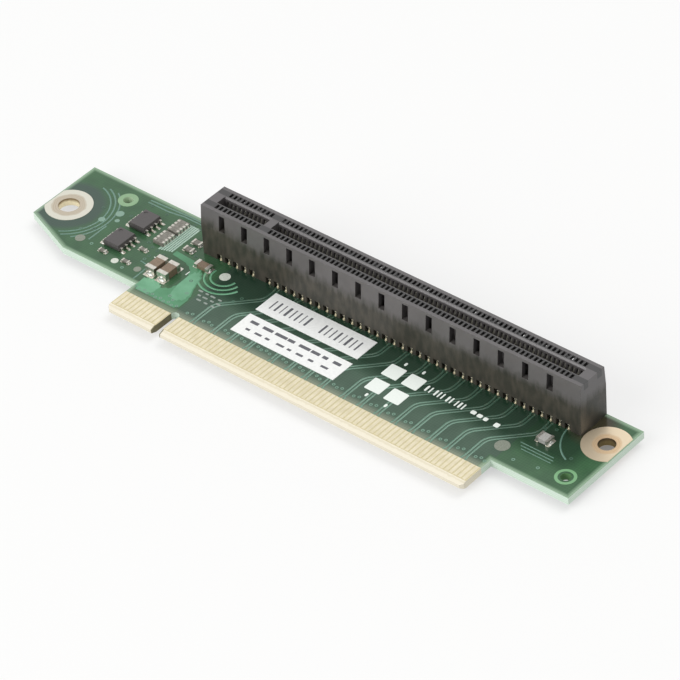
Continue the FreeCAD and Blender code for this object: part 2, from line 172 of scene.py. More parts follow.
def maskedLaminate():
    material, tree, place = startMaterial("maskedGlassEpoxyLaminate")
    x, y = addNode(tree, "SeparateXYZ", [place])[:2]
    # Distance in from the outline. The front edge counts only outside the tab
    front = mm * card["frontEdge"]
    cutX, cutY = metres(card["cornerCut"])
    normal = Vector((cutY, cutX, 0)).normalized()
    along = addNode(tree, "VectorMath", [place, normal], operation="DOT_PRODUCT")["Value"]
    cutStart = boardLow.x * normal.x + (front + cutY) * normal.y
    shelf = addNode(tree, "Math", [y, front], operation="SUBTRACT")
    inTab = insideSpan(tree, x, (0.0, card["shelfLength"]))
    inward = addNode(tree, "Math", [shelf, inTab], operation="MAXIMUM")
    for more, less in ((x, boardLow.x), (boardHigh.x, x), (boardHigh.y, y), (along, cutStart)):
        side = addNode(tree, "Math", [more, less], operation="SUBTRACT")
        inward = addNode(tree, "Math", [inward, side], operation="MINIMUM")
    rim = addNode(tree, "MapRange", [inward, *metres(maskLook["rimReach"]), maskLook["rimShare"], 0.0])
    # The ground plane keeps clear of the outline and the holes, and lies only where the lanes run
    for name, clear in maskLook["clear"].items():
        gap = addNode(tree, "Math", [distanceTo(tree, place, holes[name]), mm * clear], operation="SUBTRACT")
        inward = addNode(tree, "Math", [inward, gap], operation="MINIMUM")
    inSpan = insideSpan(tree, x, maskLook["planeSpan"])
    inward = addNode(tree, "Math", [inward, inSpan], operation="MINIMUM")
    planeShare = addNode(tree, "MapRange", [inward, *metres((-0.1, 0.1), maskLook["margin"])])
    bare, plane = [twoTone(tree, place, maskLook["mottleSize"], 4, (0.3, 0.7), maskLook[tone],
                           maskLook["dark"], 0.45)[0] for tone in ("bare", "plane")]
    masked = addNode(tree, "MixRGB", [planeShare, bare, plane])

    # Painted shade on the board in front of and beside the slot, slate inner copper round the left screw
    # hole, a painted brownish shadow beside the slot's right end, and pale laminate where no copper lies,
    # close to the outline and above the fingers
    rise = addNode(tree, "MapRange", [y, *metres(maskLook["slotShadeReach"], card["frontEdge"]), 0.0,
                                      maskLook["slotShadeShare"]])
    inSpan = insideSpan(tree, x, maskLook["slotShadeSpan"])
    inSpan = addNode(tree, "MapRange", [inSpan, *metres((-maskLook["slotShadeFade"], maskLook["slotShadeFade"]))])
    shares = {"slotShade": addNode(tree, "Math", [rise, inSpan], operation="MULTIPLY")}
    for name, centre in (("ring", holes["screwLeft"]), ("slotEndShadow", maskLook["slotEndShadowPlace"])):
        shares[name] = addNode(tree, "MapRange", [
            distanceTo(tree, place, centre), *metres(maskLook[name + "Reach"]),
            maskLook[name + "Share"], 0.0])
    shares["rim"] = rim
    shares["root"] = addNode(tree, "MapRange", [y, *metres(maskLook["rootReach"], card["frontEdge"]),
                                                maskLook["rootShare"], 0.0])
    for name, share in shares.items():
        masked = addNode(tree, "MixRGB", [share, masked, linear(maskLook[name])])

    # Crossed glass yarns shade the mask and the bare laminate of the tab, under and between the fingers
    waves = [addNode(tree, "TexWave", {
        "Vector": place, "Scale": 1 / (maskLook["weavePitch"] * mm) * math.pi / 10, "Distortion": 0.6,
        "Detail": 1, "Detail Scale": 3}, wave_type="BANDS", bands_direction=way)["Fac"] for way in "XY"]
    yarns = addNode(tree, "Math", waves, operation="ADD")
    woven = []
    for colour, span in ((masked, "weaveShade"), (linear(maskLook["laminate"])[:3], "bareWeaveShade")):
        shade = addNode(tree, "MapRange", [yarns, 0.0, 2.0, *maskLook[span]])
        woven.append(addNode(tree, "VectorMath", {0: colour, "Scale": shade}, operation="SCALE"))
    maskEnd = mm * (card["frontEdge"] + maskLook["end"])
    onTab = addNode(tree, "Math", [y, maskEnd], operation="LESS_THAN")
    faceColour = addNode(tree, "MixRGB", [onTab, *woven])

    # Routed edges show the pressed plies
    facing = addNode(tree, "SeparateXYZ", [addNode(tree, "NewGeometry")["Normal"]])
    steep = addNode(tree, "Math", [facing["Z"]], operation="ABSOLUTE")
    onEdge = addNode(tree, "Math", [steep, maskLook["edgeSlope"]], operation="LESS_THAN")
    plies = addNode(tree, "TexWave", {
        "Vector": place, "Scale": 1 / (maskLook["plyPitch"] * mm) * math.pi / 10, "Distortion": 1.5,
        "Detail": 3, "Detail Scale": 2}, wave_type="BANDS", bands_direction="Z")["Fac"]
    plyShare = addNode(tree, "MapRange", [plies, 0.55, 1.0, 0.0, 0.7])
    edges = [addNode(tree, "MixRGB", [plyShare, linear(maskLook[tone]), linear(maskLook[tone + "Line"])])
             for tone in ("edge", "tabEdge")]
    edge = addNode(tree, "MixRGB", [onTab, *edges])
    # Painted shade on the key notch's jamb and inside the small tooling bores, the right bore darker than the
    # left
    inNotch = addNode(tree, "Math", [insideSpan(tree, x, maskLook["notch"]), 0.0], operation="GREATER_THAN")
    inNotch = addNode(tree, "Math", [inNotch, onTab], operation="MULTIPLY")
    edge = addNode(tree, "MixRGB", [inNotch, edge, linear(maskLook["notchShade"])])
    for name, tone in maskLook["boreShades"].items():
        reach = 1.2 * mm * holes[name][2]
        inBore = addNode(tree, "Math", [distanceTo(tree, place, holes[name]), reach], operation="LESS_THAN")
        edge = addNode(tree, "MixRGB", [inBore, edge, linear(tone)])
    dull = addNode(tree, "Math", [onTab, onEdge], operation="MAXIMUM")
    rough = addNode(tree, "MapRange", [dull, 0.0, 1.0, maskLook["roughness"], maskLook["edgeRoughness"]])
    colour = addNode(tree, "MixRGB", [onEdge, faceColour, edge])
    return finishMaterial(material, addNode(tree, "BsdfPrincipled", {
        "Base Color": colour, "Roughness": rough, "IOR": maskLook["ior"], "Normal": peelBump(tree, place)}))


def maskedCopper(name, first, second, slotShade=None):
    # Traces and pours lie under the same mask and look lighter through it. The optional last tone is painted
    # shade, laid on near the slot, where the slot shades the board
    material, tree, place = startMaterial(name)
    colour = twoTone(tree, place, 3.0, 3, (0.3, 0.7), first, second, 0.5)[0]
    if slotShade:
        y = addNode(tree, "SeparateXYZ", [place])["Y"]
        traceShade = addNode(tree, "MapRange", [y, *metres(traces["traceShadeReach"], card["frontEdge"]), 0.0, 0.8])
        colour = addNode(tree, "MixRGB", [traceShade, colour, linear(slotShade)])
    return finishMaterial(material, addNode(tree, "BsdfPrincipled", {
        "Base Color": colour, "Roughness": maskLook["roughness"], "IOR": maskLook["ior"],
        "Normal": peelBump(tree, place)}))


def platedMetal(name, bright, worn, roughness, wearSize, lines=(1, 1, 1)):
    # Plated copper: satin, cloudy where it was handled, with fine wipe lines where something slides on it
    material, tree, place = startMaterial(name)
    colour = twoTone(tree, place, wearSize, 4, (0.35, 0.7), bright, worn)[0]
    stretched = addNode(tree, "VectorMath", [place, lines], operation="MULTIPLY")
    scratch = addNode(tree, "TexNoise", {"Vector": stretched, "Scale": 1 / (0.12 * mm), "Detail": 3})
    rough = addNode(tree, "MapRange", [scratch, 0.3, 0.7, roughness - 0.08, roughness + 0.12])
    return finishMaterial(material, addNode(tree, "BsdfPrincipled", {
        "Base Color": colour, "Metallic": 1.0, "Roughness": rough,
        "Normal": addNode(tree, "Bump", {"Height": scratch, "Distance": 0.004 * mm})}))


def screwPadMetal(name, centre, bright, worn, wornReach):
    # Bare pads under screw heads: a bright rim, and inside it the duller ring that the head has rubbed
    material, tree, place = startMaterial(name)
    wobble = addNode(tree, "TexNoise", {"Vector": place, "Scale": 1 / (1.6 * mm), "Detail": 4})
    reach = distanceTo(tree, place, centre)
    shifted = addNode(tree, "Math", [wobble, 0.7 * mm, reach], operation="MULTIPLY_ADD")
    turns = addNode(tree, "Math", [shifted, 2 * math.pi / (0.36 * mm)], operation="MULTIPLY")
    wipes = addNode(tree, "Math", [turns], operation="SINE")
    headMark = addNode(tree, "MapRange", [shifted, *metres((0.2, 0.6), wornReach), 1.0, 0.0])
    wipeShare = addNode(tree, "MapRange", [wipes, -1.0, 1.0, 0.65, 1.0])
    wear = addNode(tree, "Math", [wipeShare, headMark], operation="MULTIPLY")
    return finishMaterial(material, addNode(tree, "BsdfPrincipled", {
        "Base Color": addNode(tree, "MixRGB", [wear, linear(bright), linear(worn)]), "Metallic": 0.85,
        "Roughness": addNode(tree, "MapRange", [wear, 0.0, 1.0, 0.38, 0.5]),
        "Normal": addNode(tree, "Bump", {"Height": wipes, "Distance": 0.004 * mm, "Strength": 0.4})}))


def paintedBoreMetal(name, high, low):
    # Plating inside a screw hole, with painted light and shade: one tone under the top rim and another below
    material, tree, place = startMaterial(name)
    z = addNode(tree, "SeparateXYZ", [place])["Z"]
    stain = addNode(tree, "TexNoise", {"Vector": place, "Scale": 1 / (0.9 * mm), "Detail": 3})
    ragged = addNode(tree, "Math", [stain, 0.5 * mm, z], operation="MULTIPLY_ADD")
    share = addNode(tree, "MapRange", [ragged, boardTop - 0.5 * mm, boardTop + 0.1 * mm])
    colour = addNode(tree, "MixRGB", [share, linear(low), linear(high)])
    return finishMaterial(material, addNode(tree, "BsdfPrincipled", {
        "Base Color": colour, "Metallic": 0.6, "Roughness": 0.45}))


def solderMetal(name, tone):
    # Tin solder: satin, with a frosted skin
    material, tree, place = startMaterial(name)
    frost = addNode(tree, "TexNoise", {"Vector": place, "Scale": 1 / (0.15 * mm), "Detail": 4})
    return finishMaterial(material, addNode(tree, "BsdfPrincipled", {
        "Base Color": linear(tone), "Metallic": 1.0,
        "Roughness": addNode(tree, "MapRange", [frost, 0.35, 0.7, 0.3, 0.5]),
        "Normal": addNode(tree, "Bump", {"Height": frost, "Distance": 0.01 * mm})}))


# Tones, and heights above the board, reaches and sizes in millimetres
# The base tones are partly flux residue and partly painted shade
nylon = {"clean": ("#514e4e", "#605d5e"), "fluxAndShade": ("#292820", "#443f36"), "fluxAndShadeTop": (7.4, 9.8),
         "ragged": 3.2, "climb": 1.3, "climbReach": 14.0, "paintedEndShade": 0.74, "matter": 0.14, "round": 0.12,
         "ribShade": "#343333", "ribMiddle": 1.95, "ribHalf": 0.66, "ribDepth": 1.5}


def mouldedNylon():
    # Glass-filled nylon, injection moulded: satin near black with a fine fibre grain and soft round edges.
    # The base is darker and browner: partly flux dried on it from the solder bath, partly painted shade where
    # the board shades the lower walls
    material, tree, place = startMaterial("mouldedGlassFilledNylon")
    x, y, z = addNode(tree, "SeparateXYZ", [place])
    clean = twoTone(tree, place, 2.2, 4, (0.0, 1.0), *nylon["clean"])[0]
    runs = addNode(tree, "VectorMath", [place, (1, 1, 0.35)], operation="MULTIPLY")
    fluxAndShade, blot = twoTone(tree, runs, 1.1, 3, (0.35, 0.65), *nylon["fluxAndShade"])
    ragged = addNode(tree, "Math", [blot, nylon["ragged"] * mm, z], operation="MULTIPLY_ADD")
    # The darker, browner base reaches higher at the slot's left end
    climbEnd = housingLow.x + nylon["climbReach"] * mm
    climb = addNode(tree, "MapRange", [x, housingLow.x, climbEnd, nylon["climb"] * mm, 0.0])
    ragged = addNode(tree, "Math", [ragged, climb], operation="SUBTRACT")
    share = addNode(tree, "MapRange", [ragged, *metres(nylon["fluxAndShadeTop"], boardTop / mm)])
    colour = addNode(tree, "MixRGB", [share, fluxAndShade, clean])
    # Painted shade: the top band over the contact cavities and their thin ribs is darkened, standing in for
    # the shade down in the cavities
    across = addNode(tree, "Math", [y, slotY], operation="SUBTRACT")
    away = addNode(tree, "Math", [across], operation="ABSOLUTE")
    onRibs = addNode(tree, "Math", [away, nylon["ribMiddle"] * mm, nylon["ribHalf"] * mm],
                     operation="COMPARE")
    atTop = addNode(tree, "Math", [z, housingHigh.z - nylon["ribDepth"] * mm], operation="GREATER_THAN")
    ribShadeShare = addNode(tree, "Math", [onRibs, atTop], operation="MULTIPLY")
    colour = addNode(tree, "MixRGB", [ribShadeShare, colour, linear(nylon["ribShade"])])
    # Painted shade: faces that face along the slot, the end walls among them, are made a shade darker
    facing = addNode(tree, "SeparateXYZ", [addNode(tree, "NewGeometry")["Normal"]])
    sideways = addNode(tree, "Math", [facing["X"]], operation="ABSOLUTE")
    paintedEndShade = addNode(tree, "MapRange", [sideways, 0.5, 0.9, 1.0, nylon["paintedEndShade"]])
    colour = addNode(tree, "VectorMath", {0: colour, "Scale": paintedEndShade}, operation="SCALE")
    # Dried flux leaves the base matt
    fibre = addNode(tree, "TexNoise", {"Vector": place, "Scale": 1 / (0.16 * mm), "Detail": 3})
    rough = addNode(tree, "MapRange", [fibre, 0.3, 0.7, 0.28 + nylon["matter"], 0.42 + nylon["matter"]])
    rough = addNode(tree, "Math", [share, -nylon["matter"], rough], operation="MULTIPLY_ADD")
    rounded = addNode(tree, "Bevel", {"Radius": nylon["round"] * mm}, samples=4)
    bump = addNode(tree, "Bump", {"Height": fibre, "Distance": 0.008 * mm, "Normal": rounded})
    return finishMaterial(material, addNode(tree, "BsdfPrincipled", {
        "Base Color": colour, "Roughness": rough, "IOR": 1.58, "Normal": bump}))


bowFlash = {"height": 8.6, "half": 0.5, "strip": "#aaa89f", "flash": "#b3a273"}


def springBronze():
    # Tinned phosphor bronze strip, gold flashed only where the bow touches the card
    material, tree, place = startMaterial("platedSpringBronze")
    z = addNode(tree, "SeparateXYZ", [place])["Z"]
    onBow = addNode(tree, "Math", [z, boardTop + bowFlash["height"] * mm, bowFlash["half"] * mm],
                    operation="COMPARE")
    colour = addNode(tree, "MixRGB", [onBow, linear(bowFlash["strip"]), linear(bowFlash["flash"])])
    draw = addNode(tree, "TexNoise", {"Vector": place, "Scale": 1 / (0.2 * mm), "Detail": 2})
    rough = addNode(tree, "MapRange", [draw, 0.0, 1.0, 0.22, 0.42])
    return finishMaterial(material, addNode(tree, "BsdfPrincipled", {
        "Base Color": colour, "Metallic": 1.0, "Roughness": rough}))


def matteBody(name, first, second, grain, roughness, height, span=(0.35, 0.65), detail=4, most=1.0):
    # Pressed, fired, moulded or printed: two close shades in a fine grain
    material, tree, place = startMaterial(name)
    colour, speck = twoTone(tree, place, grain, detail, span, first, second, most)
    return finishMaterial(material, addNode(tree, "BsdfPrincipled", {
        "Base Color": colour, "Roughness": roughness, "IOR": 1.5,
        "Normal": addNode(tree, "Bump", {"Height": speck, "Distance": height * mm})}))


finishes = {
    "mask": maskedLaminate(),
    # White epoxy ink is chalky and slightly uneven
    "ink": matteBody("whiteScreenInk", "#eaf0ea", "#e1e8e1", 0.35, 0.6, 0.006, (0.35, 0.75), 3, 0.5),
    "solder": solderMetal("reflowedTinSolder", "#cfcfca"),
    "fluxedSolder": solderMetal("waveSolderUnderFlux", "#c4bba0"),
    # The last copper tone is painted shade near the slot
    "copper": maskedCopper("copperUnderGreenMask", "#739482", "#60816f", "#33503f"),
    "slowCopper": maskedCopper("thinCopperUnderMask", "#66897a", "#557767"),
    "paleCopper": maskedCopper("copperUnderThinMask", "#a9c2b3", "#93b09f"),
    "pour": maskedCopper("brightPourUnderMask", "#70a986", "#427d55"),
    "pourDeep": maskedCopper("pourUnderThickMask", "#56916b", "#38704a"),
    "clearance": maskedCopper("maskOverBareLaminate", "#88a883", "#749871"),
    "clearanceDeep": maskedCopper("maskOverThinCopper", "#7aa97c", "#699a6b"),
    "dullTin": matteBody("dullTinFinish", "#d5dacf", "#c3c9bd", 0.3, 0.4, 0.004),
    "dullInk": matteBody("wornScreenInk", "#98a39b", "#7f8a82", 0.3, 0.55, 0.004),
    "maskedTin": maskedCopper("tinUnderThinMask", "#7f9d8d", "#6f8d7d"),
    "agedPad": matteBody("agedSolderPad", "#868c7f", "#777d70", 0.3, 0.35, 0.01),
    "nylon": mouldedNylon(), "bronze": springBronze(),
    "paper": matteBody("coatedLabelPaper", "#f1f2f0", "#e9eae8", 0.6, 0.48, 0.004),  # smooth and even
    "gold": platedMetal("hardGoldPlating", "#e9e0c6", "#ddd3b5", 0.36, 1.6, (1, 0.08, 1)),
    "tin": platedMetal("brightTin", "#d8d5cc", "#c1bdb3", 0.3, 0.8),
    "epoxy": matteBody("mouldedEpoxy", "#454245", "#514d4a", 0.12, 0.42, 0.01),
    "alumina": matteBody("glazedAlumina", "#67645c", "#838077", 0.5, 0.4, 0.006),
    "tanCeramic": matteBody("firedTanCeramic", "#72614f", "#84725f", 0.3, 0.42, 0.006),
    "ferrite": matteBody("pressedFerrite", "#a09f9b", "#b1b0ab", 0.25, 0.6, 0.01),
    "printBlack": matteBody("blackLabelPrint", "#56575c", "#66676c", 0.25, 0.5, 0.002),
    # Painted light and shade in the screw bores: the left one shaded under its rim and lit below, the right
    # one in shade
    "sleeveLeft": paintedBoreMetal("platedBoreLeftLitAndShaded", "#8f7a58", "#fbf0cf"),
    "sleeveRight": paintedBoreMetal("platedBoreRightShaded", "#4a3c26", "#75653f"),
    "padLeft": screwPadMetal("wornScrewPadLeft", holes["screwLeft"], "#d7d5c8", "#b6aa97", 3.3),
    "padRight": screwPadMetal("wornScrewPadRight", holes["screwRight"], "#dfceb2", "#ccb08c", 2.6),
}
print("stage: materials ready")

cadFinishes = {
    "circuit_board": "mask", "edge_fingers_top": "gold", "edge_fingers_bottom": "gold",
    "screw_pads_left": "padLeft", "screw_pads_right": "padRight", "slot_housing": "nylon",
    "slot_contacts_front": "bronze", "slot_contacts_rear": "bronze", "chip_body_rear": "epoxy",
    "chip_leads_rear": "tin", "chip_body_front": "epoxy", "chip_leads_front": "tin",
    "resistor_array_bodies": "alumina", "resistor_array_terminals": "tin",
    "large_capacitor_bodies": "tanCeramic", "large_capacitor_caps": "tin",
    "link_resistor_bodies": "alumina", "link_resistor_caps": "tin", "slot_end_capacitor_body": "tanCeramic",
    "slot_end_capacitor_caps": "tin", "filter_resistor_bodies": "alumina", "filter_resistor_caps": "tin",
    "end_bead_body": "ferrite", "end_bead_caps": "tin", "upper_label": "paper", "lower_label": "paper",
}
for node, finish in cadFinishes.items():
    mesh = nodes[node].data
    mesh.materials.clear()
    mesh.materials.append(finishes[finish])
print("stage: CAD nodes dressed")


# Geometry Nodes trees. Each input has a name and a kind
def startTree(name, inputs):
    tree = bpy.data.node_groups.new(name, "GeometryNodeTree")
    for label, kind in {"Geometry": "Geometry", **inputs, "Material": "Material"}.items():
        tree.interface.new_socket(name=label, in_out="INPUT", socket_type="NodeSocket" + kind)
    tree.interface.new_socket(name="Geometry", in_out="OUTPUT", socket_type="NodeSocketGeometry")
    return tree, addNode(tree, "GroupInput")


def finishTree(tree, inputs, geometry):
    whole = addNode(tree, "RealizeInstances", [geometry])
    painted = addNode(tree, "SetMaterial", {"Geometry": whole, "Material": inputs["Material"]})
    addNode(tree, "GroupOutput", [painted])
    return tree


def ribbonTree():
    # A flat strip along every line of the seed mesh, with rounded bends
    tree, inputs = startTree("ribbonAlongLines", {"Width": "Float", "Height": "Float", "Bend": "Float"})
    lines = addNode(tree, "MeshToCurve", {"Mesh": inputs["Geometry"]})
    bent = addNode(tree, "FilletCurve", {
        "Curve": lines, "Count": 6, "Radius": inputs["Bend"], "Limit Radius": True}, mode="POLY")
    upright = addNode(tree, "SetCurveNormal", {"Curve": bent}, mode="Z_UP")
    profile = addNode(tree, "CurvePrimitiveQuadrilateral", {
        "Width": inputs["Width"], "Height": inputs["Height"]})
    strip = addNode(tree, "CurveToMesh", {"Curve": upright, "Profile Curve": profile, "Fill Caps": True})
    return finishTree(tree, inputs, strip)


def copiesAtPoints(tree, points, shape, marks):
    # A shape at every seed point, turned and sized by the named marks of the point
    links = {"Points": points, "Instance": shape}
    for socket, label in marks.items():
        links[socket] = addNode(tree, "InputNamedAttribute", {"Name": label}, data_type="FLOAT_VECTOR")
    return addNode(tree, "InstanceOnPoints", links)


def raiseFlat(tree, inputs, outlines):
    # Fills outlines, which Fill Curve lays at height zero, and closes them into solid plates
    flat = addNode(tree, "FillCurve", {"Curve": outlines}, mode="NGONS")
    raised = addNode(tree, "ExtrudeMesh", {
        "Mesh": flat, "Offset Scale": inputs["Thickness"], "Individual": False}, mode="FACES")
    under = addNode(tree, "FlipFaces", {"Mesh": flat})
    both = addNode(tree, "JoinGeometry", [raised])
    tree.links.new(under[0], both[0].node.inputs[0])
    closed = addNode(tree, "MergeByDistance", {"Geometry": both, "Distance": 0.0005 * mm})
    return finishTree(tree, inputs, closed)


def plateTree():
    # A flat plate with round corners at every seed point, as long and wide as the point's size says
    tree, inputs = startTree("platesAtPoints", {"Corner": "Float", "Steps": "Int", "Thickness": "Float"})
    square = addNode(tree, "CurvePrimitiveQuadrilateral", {"Width": 1.0, "Height": 1.0})
    copies = copiesAtPoints(tree, inputs["Geometry"], square, {"Scale": "size"})
    outlines = addNode(tree, "RealizeInstances", {"Geometry": copies})
    rounded = addNode(tree, "FilletCurve", {
        "Curve": outlines, "Count": inputs["Steps"], "Radius": inputs["Corner"], "Limit Radius": True},
        mode="POLY")
    return raiseFlat(tree, inputs, rounded)


def ringTree():
    # Flat rings or discs: an outer and an inner circle at every seed point
    tree, inputs = startTree("ringsAtPoints", {"Thickness": "Float"})
    circle = addNode(tree, "CurvePrimitiveCircle", {"Resolution": 32, "Radius": 1.0})
    inner, outer = [copiesAtPoints(tree, inputs["Geometry"], circle, {"Scale": label})
                    for label in ("inner", "outer")]
    circles = addNode(tree, "JoinGeometry", [inner])
    tree.links.new(outer[0], circles[0].node.inputs[0])
    outlines = addNode(tree, "RealizeInstances", {"Geometry": circles})
    return raiseFlat(tree, inputs, outlines)


def jointTree():
    # A solder cone at every seed point, turned and sized as the point says, with its flanks pulled in
    tree, inputs = startTree("solderConesAtPoints", {"Foot": "Float", "Tip": "Float", "Height": "Float"})
    cone = addNode(tree, "MeshCone", {
        "Vertices": 14, "Side Segments": 5, "Radius Top": inputs["Tip"], "Radius Bottom": inputs["Foot"],
        "Depth": inputs["Height"]})
    place = addNode(tree, "InputPosition")
    rise = addNode(tree, "Math", [addNode(tree, "SeparateXYZ", [place])["Z"], inputs["Height"]],
                   operation="DIVIDE")
    fall = addNode(tree, "Math", [1.0, rise], operation="SUBTRACT")
    hollow = addNode(tree, "Math", [rise, fall], operation="MULTIPLY")
    share = addNode(tree, "Math", [hollow, -1.5, 1.0], operation="MULTIPLY_ADD")
    scale = addNode(tree, "CombineXYZ", [share, share, 1.0])
    pulled = addNode(tree, "VectorMath", [place, scale], operation="MULTIPLY")
    shaped = addNode(tree, "SetPosition", {"Geometry": cone, "Position": pulled})
    copies = copiesAtPoints(tree, inputs["Geometry"], shaped, {"Rotation": "turn", "Scale": "size"})
    whole = addNode(tree, "RealizeInstances", {"Geometry": copies})
    shaded = addNode(tree, "SetShadeSmooth", {"Geometry": whole, "Shade Smooth": True})
    return finishTree(tree, inputs, shaded)


trees = {"ribbon": ribbonTree(), "plate": plateTree(), "ring": ringTree(), "joint": jointTree()}


def grow(name, tree, points, edges, marks, sizes, finish, lift=0.0):
    # Grows one piece from seed points, turns it into a plain mesh and hangs it on the card
    seed = bpy.data.meshes.new(name + "Seed")
    seed.from_pydata(points, edges, [])
    for label, values in marks.items():
        layer = seed.attributes.new(label, "FLOAT_VECTOR", "POINT")
        layer.data.foreach_set("vector", [v for vector in values for v in vector])
    piece = bpy.data.objects.new(name, seed)
    scene.collection.objects.link(piece)
    modifier = piece.modifiers.new("grow", "NODES")
    modifier.node_group = trees[tree]
    sockets = {item.name: item.identifier for item in trees[tree].interface.items_tree
               if item.in_out == "INPUT"}
    for label, value in sizes.items():
        modifier[sockets[label]] = value
    modifier[sockets["Material"]] = finishes[finish]
    grown = bpy.data.meshes.new_from_object(piece.evaluated_get(bpy.context.evaluated_depsgraph_get()))
    piece.modifiers.clear()
    piece.data = grown
    if lift:
        grown.transform(Matrix.Translation((0, 0, lift)))
    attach(piece, "root")
    print("piece:", name, len(grown.polygons), "faces")


def ribbons(name, routes, width, bend, finish):
    # Strips of copper under the mask, each along a list of corners
    points = []
    edges = []
    for route in routes:
        start = len(points)
        points += route
        edges += [(start + i, start + i + 1) for i in range(len(route) - 1)]
    grow(name, "ribbon", points, edges, {}, {
        "Width": width * mm, "Height": traces["height"] * mm, "Bend": bend * mm}, finish)


def arcRoute(centre, radius, start, end, steps=24):
    route = []
    for i in range(steps + 1):
        angle = math.radians(start + (end - start) * i / steps)
        route.append(onCard(centre[0] + radius * math.cos(angle), centre[1] + radius * math.sin(angle)))
    return route


def laneRoutes(z, side):
    # side is -1 for the slot's front rows and 1 for its rear rows
    routes = []
    shift = contacts["firstContact"] - contacts["firstFinger"]
    for lane in traces["lanes"]:
        middle = contactX(lane, contacts["firstFinger"]) + contacts["pitch"] / 2
        for half in (-1, 1):
            number = lane if half < 0 else lane + 1
            finger = contactX(number, contacts["firstFinger"])
            tail = contactX(number, contacts["firstContact"])
            inset = middle + half * traces["pairGap"] / 2
            turn = traces["turn"] - half * traces["pairGap"] * traces["stagger"]
            row = slotPlace + side * (contacts["innerRow"] if number % 2 else contacts["outerRow"])
            routes.append([onCard(x, y, z) for x, y in (
                (finger, traces["start"]), (finger, traces["start"] + traces["neck"][0]),
                (inset, traces["start"] + traces["neck"][1]), (inset, turn), (inset + shift, turn + shift),
                (inset + shift, row - traces["hook"][0]), (tail, row - traces["hook"][1]), (tail, row))])
    return routes


for name, z, side in (("lanePairsTop", boardTop, -1), ("lanePairsUnder", boardBottom, 1)):
    ribbons(name, laneRoutes(z, side), traces["width"], traces["bend"], "copper")

# Slower signals and supply lines at the left end and round the holes
slowLines = [arcRoute(holes["screwLeft"], 8.0, -62, 78), arcRoute(holes["screwLeft"], 8.9, -58, 70),
             arcRoute(holes["screwLeft"], 9.8, -46, 58), arcRoute(holes["screwRight"], 8.2, 186, 246)]
for corners in (((-14.6, 19.8), (-9.5, 19.8), (-6.0, 20.4), (3.4, 20.4)),
                ((-14.6, 20.5), (-5.0, 21.0), (3.4, 21.0)), ((-16.2, 4.6), (-16.2, 9.6)),
                ((-3.8, 5.6), (-2.2, 5.4), (-1.4, 4.6), (-1.4, 0.8))):
    slowLines.append([onCard(x, y) for x, y in corners])
thinLines = [[onCard(left, y), onCard(right, y)]
             for left, right, y in ((85.6, 93.0, 6.9), (86.2, 93.4, 6.2), (86.8, 93.4, 5.5))]
groundStrip = {"left": -3.4, "lines": 6, "step": 0.5, "low": 10.2, "high": 19.2, "slant": 0.15, "width": 0.4}
stripLines = []
for line in range(groundStrip["lines"]):
    x = groundStrip["left"] + groundStrip["step"] * line
    low = groundStrip["low"] + groundStrip["slant"] * line
    stripLines.append([onCard(x, low), onCard(x, groundStrip["high"])])
fiducial = {"place": (12.3, 11.2), "mark": 2.2, "width": 0.45,
            "arcs": ((2.7, 170, 355), (3.9, 178, 348), (5.1, 190, 338))}
fiducialArcs = [arcRoute(fiducial["place"], *arc) for arc in fiducial["arcs"]]
for name, routes, width, finish in (
        ("slowLines", slowLines, 0.34, "slowCopper"), ("thinLines", thinLines, 0.2, "slowCopper"),
        ("groundStrip", stripLines, groundStrip["width"], "paleCopper"),
        ("fiducialArcs", fiducialArcs, fiducial["width"], "pour")):
    ribbons(name, routes, width, traces["slowBend"], finish)
print("stage: traces laid")

# Copper pours under the mask at the left of the slot: finish, thickness and corners
pours = {
    "supplyPour": ("pourDeep", 0.02, [
        (0.3, -1.2), (11.2, -1.2), (11.2, 2.6), (9.7, 5.6), (8.9, 9.0), (5.0, 11.4), (-0.8, 11.8),
        (-0.8, 10.6), (4.2, 10.0), (6.4, 8.2), (6.6, 3.4), (5.6, 1.9), (0.3, 1.5)]),
    "supplyPourLeft": ("pour", 0.03, [(0.3, -1.1), (4.0, -1.1), (4.6, 0.9), (4.2, 2.9), (0.0, 2.9)]),
    "supplyPourRight": ("pour", 0.03, [
        (7.6, 0.6), (10.2, 0.6), (10.8, 2.6), (9.5, 5.6), (8.7, 8.8), (7.0, 9.6), (6.5, 8.4), (6.7, 3.4)]),
}


def pour(name, finish, thickness, corners, cornerRadius=0.6):
    shape = bmesh.new()
    shape.faces.new([shape.verts.new(onCard(x, y)) for x, y in corners])
    bmesh.ops.bevel(shape, geom=list(shape.verts), offset=cornerRadius * mm, segments=4, affect="VERTICES")
    raised = bmesh.ops.extrude_face_region(shape, geom=[shape.faces[:][0]])
    moved = [v for v in raised["geom"] if isinstance(v, bmesh.types.BMVert)]
    bmesh.ops.translate(shape, verts=moved, vec=(0, 0, thickness * mm))
    bmesh.ops.recalc_face_normals(shape, faces=shape.faces)
    mesh = bpy.data.meshes.new(name)
    shape.to_mesh(mesh)
    shape.free()
    mesh.materials.append(finishes[finish])
    piece = bpy.data.objects.new(name, mesh)
    scene.collection.objects.link(piece)
    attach(piece, "root")


for name, (finish, thickness, corners) in pours.items():
    pour(name, finish, thickness, corners)


def plates(name, places, finish, corner, thickness, z=boardTop, steps=3):
    # Each place is x, y, length and width
    sizes = [(mm * place[2], mm * place[3], 1) for place in places]
    grow(name, "plate", [onCard(place[0], place[1], z) for place in places], [], {"size": sizes}, {
        "Corner": corner * mm, "Steps": steps, "Thickness": thickness * mm}, finish, z)


def rings(name, places, finish, thickness, z=boardTop):
    # Each place is x, y, outer radius and inner radius
    grow(name, "ring", [onCard(place[0], place[1], z) for place in places], [], {
        "outer": [(mm * place[2], mm * place[2], 1) for place in places],
        "inner": [(mm * place[3], mm * place[3], 1) for place in places],
    }, {"Thickness": thickness * mm}, finish, z)


